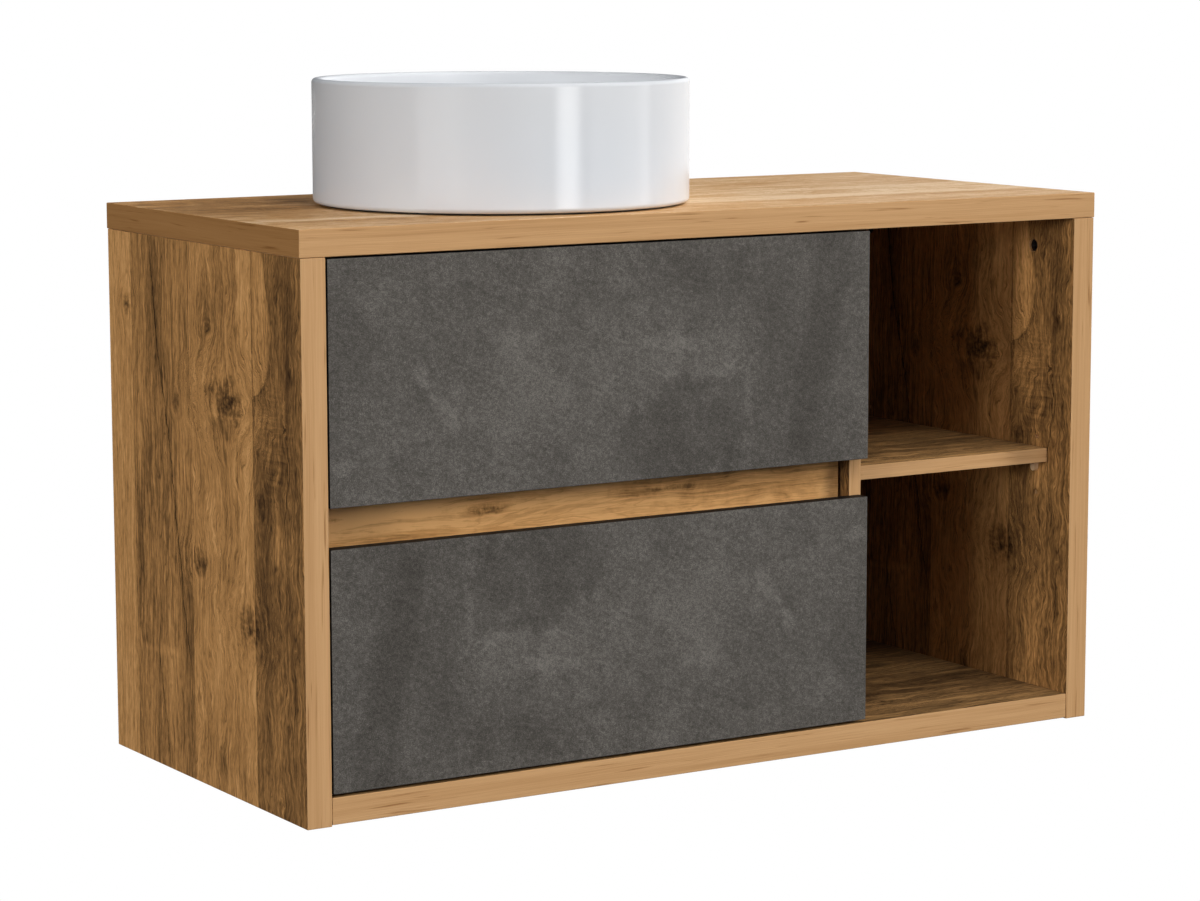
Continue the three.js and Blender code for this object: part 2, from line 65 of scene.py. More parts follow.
CAMERA_ROLL = 0.0015
CAMERA_SENSOR = 36.0  # width, mm
CAMERA_LENS = 104.78  # mm
CAMERA_CLIP = (0.05, 200.0)

# ---- Stage ---------------------------------------------------------------------------------------
FLOOR_Z = -0.76
FLOOR_SIZE = 600.0
FLOOR_GREY = 0.12  # share of the light that the floor sends back up at the unit
SKY_TOWARDS = (0.55, -0.45, 0.70)  # the side that the surroundings are brightest on
SKY_RANGE = (0.00, 0.21)  # strength away from that side and towards it
SKY_SEEN = 1.2  # strength as the camera sees it, which is plain white
SKY_COLOUR = (0.86, 0.97, 1.14)
UNIT = (0.0, -0.23, -0.15)  # the cabinet's middle
OPEN_END = (0.47, -0.37, -0.15)  # the shelf compartment's lit side
BOWL = (-0.142, -0.236, 0.16)  # the basin's middle
LIGHTS = [
    # name, aimed at, azimuth, elevation, distance, width, height, strength, what it lights
    ("key", UNIT, -34, 15, 24.0, 7.0, 7.0, 0.56, "diffuse"),
    ("high_front", UNIT, -88, 52, 22.0, 7.0, 7.0, 0.41, "diffuse"),
    ("high_right", UNIT, 6, 34, 22.0, 3.0, 3.0, 0.39, "diffuse"),
    ("left_near", OPEN_END, -161, 9, 16.0, 1.4, 3.2, 0.38, "diffuse"),
    ("left_front", OPEN_END, -149, 5, 16.0, 1.4, 4.0, 0.08, "diffuse"),
    ("behind", UNIT, 80, 3, 24.0, 7.0, 7.0, 0.42, "diffuse"),
    ("strip", BOWL, -81, 5, 2.6, 0.62, 1.6, 0.295, "glossy"),
    ("panel_left", BOWL, -131, 5, 2.6, 4.2, 1.8, 0.57, "glossy"),
    ("panel_front", BOWL, -45, 5, 2.6, 2.2, 1.8, 0.34, "glossy"),
    ("panel_right", BOWL, 10, 5, 2.6, 4.2, 1.8, 0.31, "glossy"),
    ("panel_over", BOWL, -60, 78, 2.6, 2.4, 2.4, 0.30, "glossy"),
]

for thing in list(bpy.data.objects):
    bpy.data.objects.remove(thing)


def make_camera():
    data = bpy.data.cameras.new("view")
    data.sensor_width = CAMERA_SENSOR
    data.lens = CAMERA_LENS
    data.clip_start, data.clip_end = CAMERA_CLIP
    camera = bpy.data.objects.new("view", data)
    camera.location = CAMERA_AT
    camera.rotation_euler = (math.pi / 2 - CAMERA_PITCH, CAMERA_ROLL, -CAMERA_YAW)
    bpy.context.scene.collection.objects.link(camera)
    bpy.context.scene.camera = camera


make_camera()
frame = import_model()
NODES = frame["nodes"]
RECORD = frame["record"]
BODY_OF = {n: b for b, ns in RECORD["behaviour"]["bodies"].items() for n in ns}
SLOT_OF = {s["node"]: s["material_slot"] for s in RECORD["subparts"]}


# ---- Shader building -----------------------------------------------------------------------------
class Shader:
    """One material's node tree; an argument may be a number, a tuple or another node's output."""

    def __init__(self, name):
        self.material = bpy.data.materials.new(name)
        self.material.use_nodes = True
        self.tree = self.material.node_tree
        self.tree.nodes.clear()
        self.place = self.node("ShaderNodeTexCoord")
        self.xyz = self.split(self.place.outputs["Object"])
        self.facing = self.split(self.place.outputs["Normal"])

    def node(self, kind, inputs=None, **settings):
        made = self.tree.nodes.new(kind)
        for key, value in settings.items():
            setattr(made, key, value)
        for key, value in (inputs or {}).items():
            self.put(made.inputs[key], value)
        return made

    def put(self, socket, value):
        if isinstance(value, bpy.types.NodeSocket):
            self.tree.links.new(value, socket)
        elif value is not None:
            if not hasattr(value, "__len__") and hasattr(socket.default_value, "__len__"):
                value = [value] * len(socket.default_value)
            if socket.type == "RGBA" and len(value) == 3:
                value = (*value, 1.0)
            socket.default_value = value

    def split(self, vector):
        return self.node("ShaderNodeSeparateXYZ", {0: vector}).outputs

    def vector(self, x, y, z):
        return self.node("ShaderNodeCombineXYZ", {0: x, 1: y, 2: z}).outputs[0]

    def math(self, operation, a, b=None):
        return self.node("ShaderNodeMath", {0: a, 1: b}, operation=operation).outputs[0]

    def add(self, a, b):
        return self.math("ADD", a, b)

    def times(self, a, b):
        return self.math("MULTIPLY", a, b)

    def less(self, a, b):
        return self.math("SUBTRACT", a, b)

    def linear(self, value, low, high, start=0.0, end=1.0, **settings):
        made = self.node(
            "ShaderNodeMapRange",
            {"Value": value, "From Min": low, "From Max": high, "To Min": start, "To Max": end},
            **settings,
        )
        return made.outputs["Result"]

    def smooth(self, value, low, high, start=0.0, end=1.0):
        return self.linear(value, low, high, start, end, interpolation_type="SMOOTHSTEP")

    def noise(self, vector, scale=1.0, detail=2.0, roughness=0.5, distortion=0.0):
        made = self.node(
            "ShaderNodeTexNoise",
            {
                "Vector": vector,
                "Scale": scale,
                "Detail": detail,
                "Roughness": roughness,
                "Distortion": distortion,
            },
        )
        return made.outputs[0]

    def centred(self, *noise):
        """Noise that runs to both sides of nought."""
        return self.less(self.noise(*noise), 0.5)

    def stretched(self, vector, scales):
        return self.node("ShaderNodeMapping", {0: vector, 3: scales}).outputs[0]

    def blend(self, factor, a, b):
        """One number mixed with another."""
        return self.node("ShaderNodeMix", {0: factor, 2: a, 3: b}).outputs[0]

    def ramp(self, factor, stops, interpolation="LINEAR"):
        """Colours, or plain numbers, along a factor of 0 to 1."""
        made = self.node("ShaderNodeValToRGB", {0: factor})
        band = made.color_ramp
        band.interpolation = interpolation
        while len(band.elements) < len(stops):
            band.elements.new(1.0)
        for element, (position, colour) in zip(band.elements, stops):
            element.position = position
            colour = colour if hasattr(colour, "__len__") else (colour,) * 3
            element.color = (*colour, 1.0)
        return made.outputs[0]

    def mix(self, factor, a, b, blend="MIX"):
        made = self.node("ShaderNodeMix", data_type="RGBA", blend_type=blend)
        self.put(made.inputs[0], factor)
        self.put(made.inputs[6], a)
        self.put(made.inputs[7], b)
        return made.outputs[2]

    def curve(self, value, points):
        """A smooth curve through points of 0 to 1 each way."""
        made = self.node("ShaderNodeFloatCurve", {"Value": value})
        line = made.mapping.curves[0]
        while len(line.points) < len(points):
            line.points.new(0.5, 0.5)
        for point, place in zip(line.points, sorted(points)):
            point.location = place
        made.mapping.update()
        return made.outputs[0]

    def bump(self, height, distance, strength):
        made = self.node(
            "ShaderNodeBump", {"Height": height, "Distance": distance, "Strength": strength}
        )
        return made.outputs[0]

    def surface(self, colour, roughness, normal, **values):
        made = self.node(
            "ShaderNodeBsdfPrincipled",
            {"Base Color": colour, "Roughness": roughness, "Normal": normal},
        )
        for key, value in values.items():
            self.put(made.inputs[key.replace("_", " ")], value)
        out = self.node("ShaderNodeOutputMaterial")
        self.tree.links.new(made.outputs[0], out.inputs["Surface"])
        return self.material

    def facing_along(self, axis):
        """1 where the surface faces along an axis, 0 elsewhere, changing on the rounded edge."""
        return self.smooth(self.math("ABSOLUTE", self.facing[axis]), 0.6, 0.8)


# ---- Oak decor -----------------------------------------------------------------------------------
# Places are in metres: across the planks, then along them.
PLANK = 0.1452  # width of one plank
FIRST_SEAM = -0.3499  # rear edge of the side panels' foremost plank
LONG_CRACK = (
    0.098, 0.103, 0.108, 0.115, 0.122, 0.134, 0.146,
    0.155, 0.162, 0.172, 0.178, 0.190, 0.202,
)
SIDE_DECOR = {
    "seam": -0.0595,  # where one of the seams runs; the others lie whole planks away
    # tone of each plank and how much its grain curls, each from a place across the board on
    "tones": [(-0.46, 0.505), (FIRST_SEAM, 0.735), (-0.2047, 0.58), (-0.0595, 0.80)],
    "swirl": [(-0.46, 0.9), (FIRST_SEAM, 1.0), (-0.2047, 0.35), (-0.0595, 0.25)],
    "figure": 1.15,  # contrast of all the grain together
    "weights": (0.32, 0.18, 0.34, 0.60, 0.50, 0.66),  # big, rings, clouds, medium, short, fine
    "light": False,  # which of the two ramps colours it
    "knots": [
        # across, along, half width, half length, darkness
        (-0.2925, -0.096, 0.038, 0.022, 0.36),
        (-0.3320, -0.326, 0.022, 0.022, 0.27),
        (-0.2180, -0.273, 0.019, 0.014, 0.22),
        (-0.1670, -0.107, 0.008, 0.009, 0.22),
        (-0.0480, -0.014, 0.012, 0.013, 0.24),
        (-0.2460, -0.021, 0.009, 0.008, 0.22),
        (-0.3640, -0.196, 0.012, 0.014, 0.18),
        (-0.2390, -0.367, 0.004, 0.005, 0.24),
    ],
    "patches": [
        # across, along, half width, half length, change of tone
        (-0.2850, 0.030, 0.030, 0.075, -0.15),
        (-0.3080, 0.010, 0.008, 0.110, -0.08),
        (-0.0720, -0.295, 0.010, 0.105, -0.16),
        (-0.2790, -0.126, 0.040, 0.012, -0.10),
        (-0.4100, -0.238, 0.021, 0.027, 0.13),
        (-0.3680, -0.285, 0.020, 0.070, -0.10),
        (-0.4300, -0.120, 0.018, 0.110, -0.06),
        (-0.3950, -0.420, 0.013, 0.080, 0.10),
        (-0.4200, -0.020, 0.020, 0.080, -0.08),
        (-0.2560, -0.365, 0.013, 0.055, 0.08),
        (-0.1500, -0.425, 0.020, 0.050, 0.08),
        (-0.1850, -0.130, 0.020, 0.020, 0.08),
        (-0.1250, -0.020, 0.014, 0.160, -0.06),
        (-0.3330, -0.180, 0.016, 0.120, 0.05),
        (-0.2430, -0.010, 0.022, 0.045, -0.14),
        (-0.2350, -0.275, 0.035, 0.012, -0.08),
        (-0.0700, -0.300, 0.012, 0.090, -0.10),
        (-0.3750, -0.180, 0.022, 0.030, -0.12),
        (-0.3700, -0.310, 0.022, 0.040, -0.10),
        (-0.4350, 0.000, 0.014, 0.060, -0.06),
        (-0.2600, -0.470, 0.060, 0.030, -0.06),
        (-0.2780, -0.1130, 0.030, 0.0035, 0.16),
        (-0.2450, -0.0210, 0.012, 0.0030, 0.16),
        (-0.2500, -0.0900, 0.016, 0.0100, -0.10),
        (-0.1000, -0.3850, 0.030, 0.0040, 0.10),
        (-0.1400, -0.3800, 0.024, 0.0050, 0.10),
        (-0.2900, -0.2820, 0.028, 0.0040, -0.09),
    ],
    "cracks": [
        # along from, along to, distance out from the wall at equal steps between them, darkness
        (0.13, -0.42, LONG_CRACK, 0.30),
        (-0.37, -0.50, (0.110, 0.118, 0.124, 0.132, 0.136), 0.20),
        (-0.09, -0.30, (0.424, 0.426, 0.423, 0.418, 0.421, 0.430), 0.16),
        (-0.33, -0.47, (0.434, 0.436, 0.430, 0.436), 0.14),
        (-0.12, -0.24, (0.309, 0.312, 0.310, 0.313), 0.12),
    ],
    "sapwood": True,
    "flame": (-0.395, -0.125, 0.045, 0.075),  # rippled place: across, along and its half sizes
    "tint": (1.0, 1.0, 1.0),
}
# The back panel: the side panels' oak with darker plank tones and a cool tint, painted shade for the
# dim, reddish-lit inside of the compartments.
BACK_DECOR_PAINTED_SHADE = {
    **SIDE_DECOR,
    "seam": 0.3100,
    "tones": [(-0.5, 0.42), (0.1648, 0.50), (0.3100, 0.36)],
    "cracks": [],
    "tint": (0.78, 1.08, 1.75),
}
# The divider: the side panels' oak with every plank's tone lowered, painted shade for a board that
# stands in the dim inside of the compartments.
DIVIDER_DECOR_PAINTED_SHADE = {
    **SIDE_DECOR,
    "tones": [(-0.46, 0.34), (FIRST_SEAM, 0.46), (-0.2047, 0.40), (-0.0595, 0.50)],
    "sapwood": False,
}
TOP_DECOR = {
    "seam": -0.0700,
    "tones": [(-0.46, 0.86), (-0.3604, 0.94), (-0.2152, 0.89), (-0.0700, 0.86)],
    "figure": 0.9,
    "weights": (0.34, 0.22, 0.26, 0.74, 0.30, 0.55),
    "light": True,
    "swirl": [(-0.46, 0.5), (-0.3604, 0.8), (-0.2152, 0.5), (-0.0700, 0.4)],
    "knots": [(-0.285, 0.246, 0.026, 0.050, 0.14), (-0.175, -0.400, 0.020, 0.040, 0.16)],
    "patches": [
        # The first two patches are painted shade: the basin's shadow, darkening the worktop to the
        # basin's left and left-back.
        (-0.170, -0.420, 0.180, 0.150, -0.22),
        (-0.040, -0.340, 0.080, 0.200, -0.14),
        (-0.345, -0.300, 0.012, 0.230, 0.12),
        (-0.335, 0.330, 0.016, 0.260, 0.10),
        (-0.376, 0.220, 0.010, 0.260, -0.08),
        (-0.376, -0.300, 0.010, 0.260, -0.08),
        (-0.310, 0.240, 0.040, 0.090, 0.06),
        (-0.150, 0.250, 0.030, 0.300, -0.05),
    ],
    "cracks": [],
    "sapwood": False,
    "flame": None,
    "tint": (1.0, 1.0, 1.0),
}
# The shelf: its planks are toned lighter, and tinted cooler, than the bottom board's as painted light
# that makes up for the compartment's shade it lies in.
SHELF_DECOR_PAINTED_LIGHT = {
    "seam": -0.1150,
    "tones": [(-0.46, 0.58), (-0.4054, 0.46), (-0.2602, 0.60), (-0.1150, 0.50)],
    "figure": 1.1,
    "weights": (0.40, 0.26, 0.26, 0.84, 0.26, 0.50),
    "light": False,
    "swirl": [(-0.46, 0.5), (-0.4054, 0.7), (-0.2602, 0.4), (-0.1150, 0.6)],
    "knots": [(-0.350, 0.255, 0.024, 0.034, 0.22), (-0.210, 0.380, 0.014, 0.020, 0.20)],
    "tint": (1.0, 1.10, 1.25),
    "patches": [
        (-0.370, 0.330, 0.016, 0.120, 0.12),
        (-0.310, 0.400, 0.014, 0.090, -0.12),
        (-0.425, 0.300, 0.012, 0.160, -0.10),
    ],
    "cracks": [],
    "sapwood": False,
    "flame": None,
}
# The bottom board: the shelf's oak with darker plank tones, painted shade that tones down the light
# falling straight onto it.
FLOOR_DECOR_PAINTED_SHADE = {
    **SHELF_DECOR_PAINTED_LIGHT,
    "tones": [(-0.46, 0.48), (-0.4054, 0.36), (-0.2602, 0.50), (-0.1150, 0.43)],
}
# The rails' oak: its planks' tone is raised above the other boards' as painted light, brightening the
# grip rail in its shaded recess; the knots and most patches are its figure.
RAIL_DECOR_AND_PAINTED_LIGHT = {
    "seam": 1.0,
    "tones": [(-0.3, 0.90), (-0.2, 0.90)],
    "figure": 0.95,
    "weights": (0.40, 0.30, 0.20, 0.80, 0.16, 0.50),
    "light": False,
    "swirl": [(-0.3, 0.22), (-0.2, 0.22)],
    "knots": [
        (-0.2085, -0.270, 0.0060, 0.026, 0.33),
        (-0.2055, -0.452, 0.0026, 0.014, 0.34),
        (-0.2050, -0.045, 0.0030, 0.024, 0.28),
    ],
    "patches": [
        (-0.1975, -0.290, 0.0035, 0.055, -0.26),
        (-0.2060, -0.070, 0.0040, 0.060, -0.24),
        (-0.2290, -0.390, 0.0040, 0.070, -0.26),
        (-0.2080, -0.180, 0.0050, 0.120, 0.10),
        # Painted light: brightens the grip rail's left end, where the side panel shades it.
        (-0.1960, -0.410, 0.0300, 0.160, 0.28),
        (-0.2130, -0.330, 0.0030, 0.110, -0.20),
        (-0.2040, 0.080, 0.0040, 0.100, 0.08),
        (-0.1970, 0.060, 0.0300, 0.140, -0.27),
    ],
    "cracks": [],
    "sapwood": False,
    "flame": None,
    "tint": (1.0, 1.0, 1.0),
}
WOOD_STOPS = [
    (0.00, (0.022, 0.010, 0.003)),
    (0.22, (0.088, 0.042, 0.015)),
    (0.45, (0.235, 0.117, 0.039)),
    (0.70, (0.525, 0.262, 0.086)),
    (0.88, (0.690, 0.360, 0.130)),
    (1.00, (0.790, 0.430, 0.165)),
]
LIGHT_WOOD_STOPS = [
    *WOOD_STOPS[:4],
    (0.88, (0.660, 0.400, 0.190)),
    (1.00, (0.820, 0.580, 0.350)),
]
BAND_STOPS = [
    (0.00, (0.340, 0.163, 0.060)),
    (0.35, (0.530, 0.292, 0.124)),
    (0.60, (0.620, 0.358, 0.163)),
    (1.00, (0.730, 0.458, 0.236)),
]
SHORT_EDGE_TINT = (0.66, 0.57, 0.43)  # the worktop's left and right edges are darker
GRAIN = {
    # scale across the planks, scale along them, detail, roughness
    "wander": (9.0, 2.6, 2.0, 0.5),
    "curl": (26.0, 15.0, 3.0, 0.55),
    "torn": (150.0, 210.0, 3.0, 0.6),
    "big": (21.0, 1.9, 3.0, 0.5),
    "clouds": (24.0, 8.0, 5.0, 0.66),
    "medium": (190.0, 7.0, 4.0, 0.65),
    "short": (400.0, 95.0, 3.0, 0.68),
    "fine": (900.0, 30.0, 2.0, 0.7),
    "pores": (1300.0, 90.0, 1.0, 0.5),
}
SAP_START, SAP_END = -0.085, 0.065  # the sapwood tongue, along the plank
SAP_SEAM = -0.350  # what its reach is counted from
SAP_REACH = 0.046  # how far it comes forward of there
SAP_EDGE = [
    # place along the tongue, how far it reaches there
    (0.0, 0.02), (0.06, 0.42), (0.22, 0.78), (0.42, 0.90),
    (0.62, 0.80), (0.80, 0.62), (1.0, 0.52),
]


def reach_of(sh, flat, middle_a, middle_l, half_a, half_l):
    """How far a point lies from an oval's middle, in the oval's own radii."""

    def on_vectors(operation, one, two=None):
        return sh.node("ShaderNodeVectorMath", {0: one, 1: two}, operation=operation).outputs

    away = on_vectors("SUBTRACT", flat, (middle_a, middle_l, 0.0))[0]
    away = on_vectors("MULTIPLY", away, (1.0 / half_a, 1.0 / half_l, 0.0))[0]
    return on_vectors("LENGTH", away)["Value"]


def by_plank(sh, across, places):
    """A value for each plank, from (start, value) pairs."""
    low, high = min(a for a, _ in places), 0.5
    steps = [((a - low) / (high - low), value) for a, value in places]
    band = sh.ramp(sh.linear(across, low, high), steps, "CONSTANT")
    return sh.node("ShaderNodeSeparateColor", {0: band}).outputs[0]


def knots(sh, flat, across, ragged, smudge, torn, places):
    """Draws the grain in round each knot. Returns the place across it now has, and the shade."""
    shade = 0.0
    for middle_a, middle_l, half_a, half_l, dark in places:
        reach = reach_of(sh, flat, middle_a, middle_l, half_a, half_l)
        reach = sh.add(reach, sh.add(sh.times(ragged, 1.6), sh.times(smudge, 1.1)))
        pull = sh.smooth(reach, 3.6, 0.2)
        across = sh.less(across, sh.times(sh.less(across, middle_a), sh.times(pull, 0.66)))
        rings = sh.math("SINE", sh.times(reach, 9.0))
        core = sh.times(sh.smooth(reach, 1.5, 0.15), sh.add(0.95, sh.times(torn, 3.4)))
        halo = sh.times(sh.smooth(reach, 2.3, 0.8), sh.times(rings, 0.10))
        shade = sh.add(shade, sh.times(sh.add(core, halo), dark))
    return across, shade


def sapwood(sh, tone, across, along, ragged, curl):
    """A pale tongue of sapwood with a dark outline, on the plank in front of the first seam."""
    edge = sh.curve(sh.linear(along, SAP_START, SAP_END), SAP_EDGE)
    waver = sh.add(sh.times(ragged, 0.007), sh.times(curl, 0.007))
    beyond = sh.add(sh.less(SAP_SEAM, across), waver)
    room = sh.less(sh.times(edge, SAP_REACH), beyond)
    on_plank = sh.math("LESS_THAN", across, FIRST_SEAM)
    inside = sh.times(
        sh.times(sh.smooth(room, -0.0012, 0.0022), on_plank),
        sh.math("GREATER_THAN", along, SAP_START),
    )
    outline = sh.times(
        sh.smooth(sh.math("ABSOLUTE", room), 0.008, 0.0),
        sh.times(sh.math("GREATER_THAN", along, SAP_START - 0.005), on_plank),
    )
    return sh.add(sh.less(tone, sh.times(outline, 0.12)), sh.times(inside, 0.22))


def flame(sh, tone, flat, across, along, curl, smudge, place):
    """Rippled figure that runs across the grain, strongest in an oval's middle."""
    rippled = sh.times(sh.add(along, sh.times(curl, 0.010)), 280.0)
    ripple = sh.noise(sh.vector(sh.times(across, 24.0), rippled, 0.0), 1.0, 2.0, 0.5, 0.5)
    reach = sh.add(reach_of(sh, flat, *place), sh.times(smudge, 1.5))
    near = sh.smooth(reach, 1.2, 0.3)
    return sh.add(tone, sh.times(near, sh.times(sh.less(ripple, 0.5), 0.42)))


def crack(sh, across, along, ragged, start, end, places):
    """One crack along the grain. Returns its sharp core and its soft halo."""
    share = sh.linear(along, start, end)
    low, high = min(places), max(places)
    steps = [(i / (len(places) - 1), (p - low) / (high - low)) for i, p in enumerate(places)]
    here = sh.add(sh.times(sh.curve(share, steps), high - low), low)
    off = sh.math("ABSOLUTE", sh.add(sh.add(across, here), sh.times(ragged, 0.010)))
    ends = sh.times(sh.smooth(share, 0.0, 0.25), sh.smooth(share, 1.0, 0.9))
    core, halo = sh.smooth(off, 0.0012, 0.0002), sh.smooth(off, 0.008, 0.0)
    return sh.times(core, ends), sh.times(halo, ends)


def knotty_planks(sh, across, along, decor):
    """Wide planks with seams, knots, cracks and flat-sawn figure. Returns tone, height."""
    flat = sh.vector(across, along, 0.0)
    planks = sh.times(sh.less(across, decor["seam"]), 1.0 / PLANK)
    turn = sh.times(sh.math("FLOOR", planks), 3.7)  # another place in the noise for each plank

    def grain(which, place, third=turn):
        per_across, per_along, detail, roughness = GRAIN[which]
        vector = sh.vector(sh.times(place, per_across), sh.times(along, per_along), third)
        return sh.noise(vector, 1.0, detail, roughness)

    curl = sh.less(grain("curl", across), 0.5)
    drawn = sh.add(across, sh.times(sh.less(grain("wander", across), 0.5), 0.022))
    swirl = by_plank(sh, across, decor["swirl"])
    drawn = sh.add(drawn, sh.times(curl, sh.times(swirl, 0.034)))
    ragged = sh.centred(flat, 55.0, 4.0, 0.6)
    smudge = sh.centred(flat, 24.0, 5.0, 0.68, 0.4)
    torn = sh.less(grain("torn", drawn, 1.3), 0.5)
    drawn, shade = knots(sh, flat, drawn, ragged, smudge, torn, decor["knots"])

    big = grain("big", drawn)
    rings = sh.math("PINGPONG", sh.times(big, 15.0), 0.5)
    lines = sh.smooth(sh.math("PINGPONG", sh.times(big, 27.0), 0.5), 0.11, 0.0)
    clouds, medium = grain("clouds", drawn), grain("medium", drawn)
    short, fine = grain("short", drawn), grain("fine", drawn)
    pores = sh.smooth(grain("pores", drawn), 0.60, 0.78)
    layers = ((big, 0.5), (rings, 0.25), (clouds, 0.5), (medium, 0.5), (short, 0.5), (fine, 0.5))
    tone = by_plank(sh, across, decor["tones"])
    for (layer, middle), weight in zip(layers, decor["weights"]):
        tone = sh.add(tone, sh.times(sh.less(layer, middle), weight * decor["figure"]))
    tone = sh.less(tone, sh.times(pores, 0.12 * decor["figure"]))
    tone = sh.less(tone, sh.times(sh.times(lines, medium), 0.24 * decor["figure"]))

    if decor["sapwood"]:
        tone = sapwood(sh, tone, across, along, ragged, curl)
    blur = sh.add(sh.times(ragged, 1.4), sh.times(smudge, 1.8))
    for *oval, change in decor["patches"]:
        reach = sh.add(reach_of(sh, flat, *oval), blur)
        tone = sh.add(tone, sh.smooth(reach, 1.5, 0.2, 0.0, change))
    if decor["flame"]:
        tone = flame(sh, tone, flat, across, along, curl, smudge, decor["flame"])
    tone = sh.less(tone, shade)
    groove = 0.0
    for start, end, places, dark in decor["cracks"]:
        core, halo = crack(sh, across, along, ragged, start, end, places)
        tone = sh.less(tone, sh.add(sh.times(core, dark * 1.35), sh.times(halo, dark * 0.26)))
        groove = sh.add(groove, core)
    part = sh.math("FRACT", sh.add(planks, 0.5))
    seam = sh.smooth(sh.math("ABSOLUTE", sh.less(part, 0.5)), 0.006, 0.001)
    tone = sh.less(tone, sh.times(seam, 0.10))

    height = sh.add(sh.times(medium, 0.4), sh.times(short, 0.6))
    for layer, depth in ((pores, 0.6), (seam, 0.8), (groove, 1.4)):
        height = sh.less(height, sh.times(layer, depth))
    return tone, height


def straight_oak(sh, across, along, third):
    """Edge band: light oak with fine straight grain. Returns colour, height."""

    def grain(place, per_across, per_along, per_third, *noise):
        vector = sh.vector(
            sh.times(place, per_across), sh.times(along, per_along), sh.times(third, per_third)
        )
        return sh.noise(vector, 1.0, *noise)

    wander = grain(across, 14.0, 2.2, 14.0, 2.0)
    moved = sh.add(across, sh.times(sh.less(wander, 0.5), 0.010))
    bands = grain(moved, 120.0, 1.6, 20.0, 3.0, 0.6)
    fine = grain(moved, 900.0, 9.0, 900.0, 3.0, 0.65)
    streak = sh.smooth(grain(moved, 330.0, 11.0, 60.0, 2.0, 0.5, 0.4), 0.60, 0.78)
    tone = sh.add(0.5, sh.times(sh.less(bands, 0.5), 0.70))
    tone = sh.add(tone, sh.times(sh.less(fine, 0.5), 0.5))
    tone = sh.less(tone, sh.times(streak, 0.55))
    return sh.ramp(tone, BAND_STOPS), sh.less(fine, sh.times(streak, 0.5))


def oak_board(name, thick, grain, decor, dark_ends=False):
    """A board: knotty planks on its two main faces and straight oak bands on its edges.

    thick and grain are the axes of its thickness and of its grain."""
    sh = Shader(name)
    side = 3 - thick - grain
    tone, relief = knotty_planks(sh, sh.xyz[side], sh.xyz[grain], decor)
    stops = [
        (at, tuple(c * t for c, t in zip(colour, decor["tint"])))
        for at, colour in (LIGHT_WOOD_STOPS if decor["light"] else WOOD_STOPS)
    ]
    face_colour = sh.ramp(tone, stops)
    on_end = sh.facing_along(grain)
    run = sh.blend(on_end, sh.xyz[grain], sh.xyz[side])
    other = sh.blend(on_end, sh.xyz[side], sh.xyz[grain])
    band_colour, band_relief = straight_oak(sh, sh.xyz[thick], run, other)
    if dark_ends:
        darker = sh.mix(1.0, band_colour, SHORT_EDGE_TINT, "MULTIPLY")
        band_colour = sh.mix(on_end, band_colour, darker)
    on_face = sh.facing_along(thick)
    colour = sh.mix(on_face, band_colour, face_colour)
    height = sh.blend(on_face, band_relief, relief)
    roughness = sh.linear(height, 0.0, 1.0, 0.62, 0.46)
    normal = sh.bump(height, 0.0004, 0.6)
    return sh.surface(colour, roughness, normal, IOR=1.45, Specular_IOR_Level=0.12)


# ---- Slate laminate ------------------------------------------------------------------------------
LOWER_FRONT_ON_SHEET = 0.2895  # how far the lower front lies from the upper one on their sheet
# Edge band colour: a dark band, made near-black as painted shade for the shadow line at the fronts'
# edges.
SLATE_EDGE_BAND_AND_SHADE = (0.0035, 0.0032, 0.0030)
SLATE_STOPS = [
    (0.00, (0.0400, 0.0350, 0.0285)),
    (0.46, (0.0890, 0.0800, 0.0695)),
    (1.00, (0.2100, 0.1910, 0.1680)),
]
SLATE_PATCHES = [
    # x, z, half width, half height, lean, change of tone, how crisp the edge is
    (-0.060, -0.150, 0.078, 0.062, 0.0, -0.15, 0.80),
    (-0.030, -0.063, 0.058, 0.030, 0.1, 0.10, 0.60),
    (-0.025, -0.094, 0.030, 0.008, 0.2, -0.16, 0.40),
    (-0.050, -0.045, 0.040, 0.006, -0.1, 0.08, 0.30),
    (0.012, -0.080, 0.030, 0.010, 0.3, 0.08, 0.30),
    (-0.366, -0.060, 0.012, 0.022, -0.5, 0.17, 0.40),
    (-0.346, -0.092, 0.010, 0.026, -0.7, 0.17, 0.50),
    (-0.374, -0.072, 0.008, 0.030, -0.8, -0.14, 0.30),
    (-0.452, -0.150, 0.012, 0.008, 0.2, 0.18, 0.40),
    (-0.265, -0.085, 0.060, 0.090, 0.3, 0.08, 0.10),
    (-0.250, -0.036, 0.024, 0.014, 0.3, 0.09, 0.30),
    (-0.128, -0.116, 0.004, 0.013, 0.9, 0.26, 0.60),
    (-0.150, -0.060, 0.018, 0.060, 0.35, 0.07, 0.55),
    (0.030, -0.110, 0.008, 0.060, 0.0, 0.10, 0.60),
    (0.125, -0.050, 0.026, 0.120, 0.2, -0.14, 0.45),
    (0.145, 0.020, 0.016, 0.030, 0.4, 0.10, 0.40),
    (0.090, 0.010, 0.030, 0.040, 0.2, 0.07, 0.40),
    (0.155, -0.100, 0.024, 0.050, 0.3, 0.08, 0.35),
    (-0.410, 0.030, 0.030, 0.020, 0.1, 0.08, 0.20),
    (-0.210, 0.030, 0.024, 0.030, 0.1, 0.07, 0.20),
    (-0.320, 0.015, 0.050, 0.020, 0.2, -0.06, 0.20),
    (-0.110, -0.070, 0.050, 0.110, 0.35, 0.06, 0.90),
    (-0.290, -0.120, 0.110, 0.090, 0.20, 0.05, 0.70),
    (0.100, -0.060, 0.076, 0.150, 0.00, -0.07, 0.90),
    (-0.440, 0.000, 0.045, 0.080, 0.20, -0.05, 0.80),
    (-0.060, 0.030, 0.070, 0.020, 0.10, -0.08, 0.90),
]


